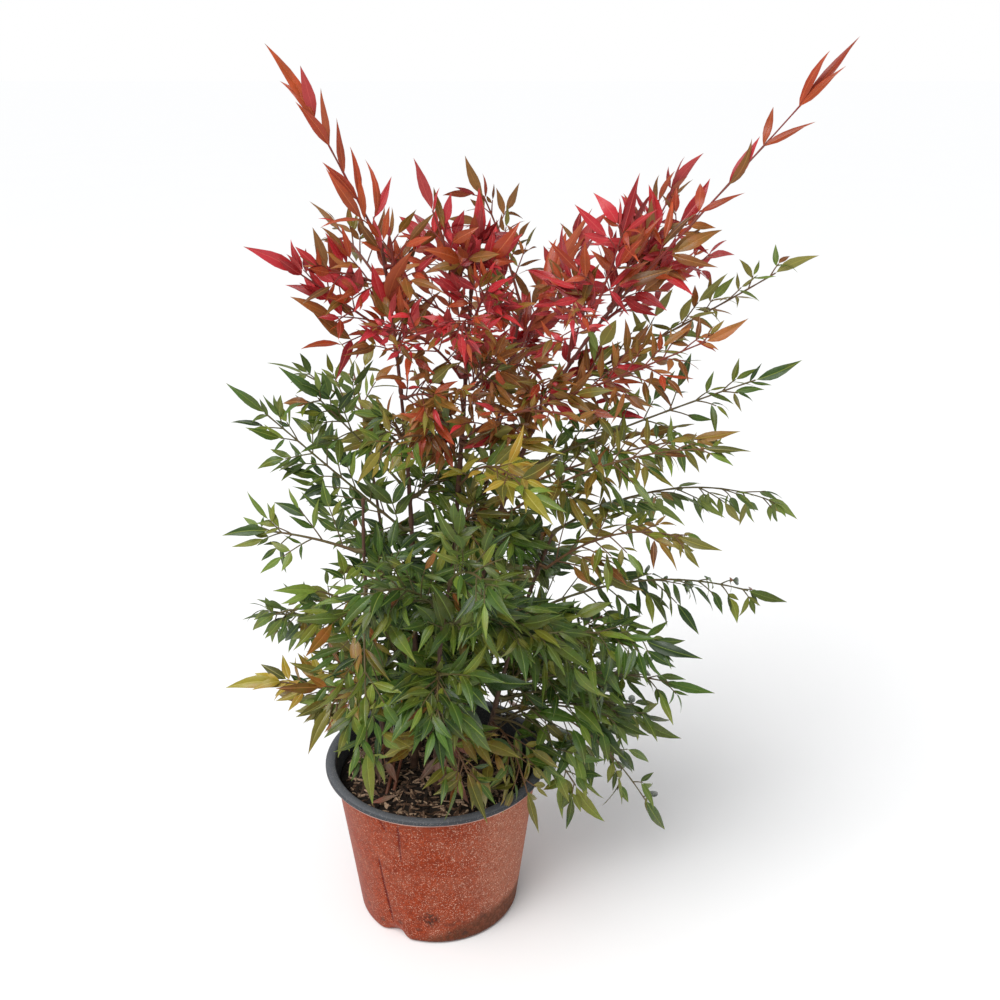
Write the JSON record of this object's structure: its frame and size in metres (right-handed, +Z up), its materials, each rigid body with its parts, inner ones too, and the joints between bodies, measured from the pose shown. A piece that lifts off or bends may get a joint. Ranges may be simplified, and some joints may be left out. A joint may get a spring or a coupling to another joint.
{
  "type": "potted heavenly bamboo",
  "caption": "Young heavenly bamboo in a round nursery pot: upright canes with airy compound leaves, green below and crimson at the tips.",
  "frame": {"origin": "centre of the pot's flat underside", "axes": "+Z up along the pot's axis, -Y towards the front, +X to the viewer's right"},
  "size_m": [0.481, 0.3536, 0.7232],
  "materials": {
    "terracotta": "terracotta-coloured moulded plastic with a dark grey rim, dusty",
    "bark_soil": "loose dark potting mix with bark chips",
    "cane_bark": "thin brown bark, faintly ridged",
    "flame": "satin orange-red leaflets",
    "crimson": "satin crimson leaflets",
    "bronze": "satin bronze leaflets",
    "olive": "satin olive leaflets",
    "fresh_green": "satin mid green leaflets",
    "deep_green": "satin dark green leaflets",
    "gold": "satin yellow-green leaflets"
  },
  "bodies": {
    "root": {"pot": "terracotta", "potting_soil": "bark_soil", "cane_centre": "cane_bark", "cane_left": "cane_bark", "cane_right": "cane_bark", "cane_back": "cane_bark", "cane_back_left": "cane_bark", "cane_low_left": "cane_bark", "cane_low_right": "cane_bark", "cane_front": "cane_bark", "shoot_left": "flame", "plume_left": "crimson", "plume_left_upper": "bronze", "centre_left_shoot": "crimson", "centre_shoot": "crimson", "arching_shoot": "bronze", "centre_right_shoot": "flame", "red_core_left": "crimson", "red_core_front": "crimson", "red_core_right": "crimson", "red_core_back": "crimson", "shoot_right": "flame", "red_high_right": "crimson", "red_mid_right": "crimson", "red_back_right": "crimson", "red_side_right": "crimson", "olive_high_right": "olive", "bronze_side_right": "bronze", "bronze_front": "bronze", "green_high_right": "fresh_green", "olive_front_right": "olive", "green_tip_right": "fresh_green", "green_side_right": "olive", "green_long_right": "deep_green", "green_mid_right": "deep_green", "green_low_right": "deep_green", "droop_right": "fresh_green", "skirt_right": "fresh_green", "front_hanging": "fresh_green", "front_middle": "deep_green", "front_low": "olive", "front_right": "deep_green", "front_top": "deep_green", "inner_left": "deep_green", "droop_left": "olive", "yellow_left": "gold", "low_left": "deep_green", "side_left": "fresh_green", "long_left": "fresh_green", "high_left": "deep_green", "high_left_front": "deep_green", "high_left_back": "fresh_green", "gold_front": "gold", "olive_front_left": "olive", "back_top": "bronze", "back_side_right": "fresh_green", "back_low_right": "olive", "back_middle": "deep_green", "back_high_left": "olive", "back_low_left": "fresh_green"}
  },
  "joints": []
}
